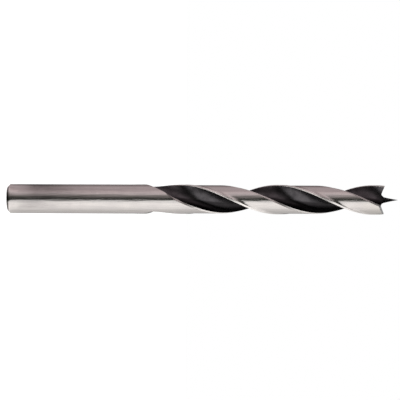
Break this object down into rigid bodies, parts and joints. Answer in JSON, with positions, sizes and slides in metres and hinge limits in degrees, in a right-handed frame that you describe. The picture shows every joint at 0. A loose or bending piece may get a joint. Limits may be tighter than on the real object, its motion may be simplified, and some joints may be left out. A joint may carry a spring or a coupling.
{
  "type": "brad point drill bit",
  "caption": "Wood drill bit with a plain round shank, two helical flutes, outer spurs and a sharp centre point.",
  "frame": {"origin": "centre of the flat end of the shank, which the bit stands on", "axes": "+Z along the axis from the shank end to the centre point; the cutting lips run along X"},
  "size_m": [0.01, 0.01, 0.133],
  "materials": {
    "tool_steel": "ground bright on the shank and lands, black oxide in the flutes"
  },
  "bodies": {
    "root": {"drill_bit": "tool_steel"}
  },
  "joints": []
}
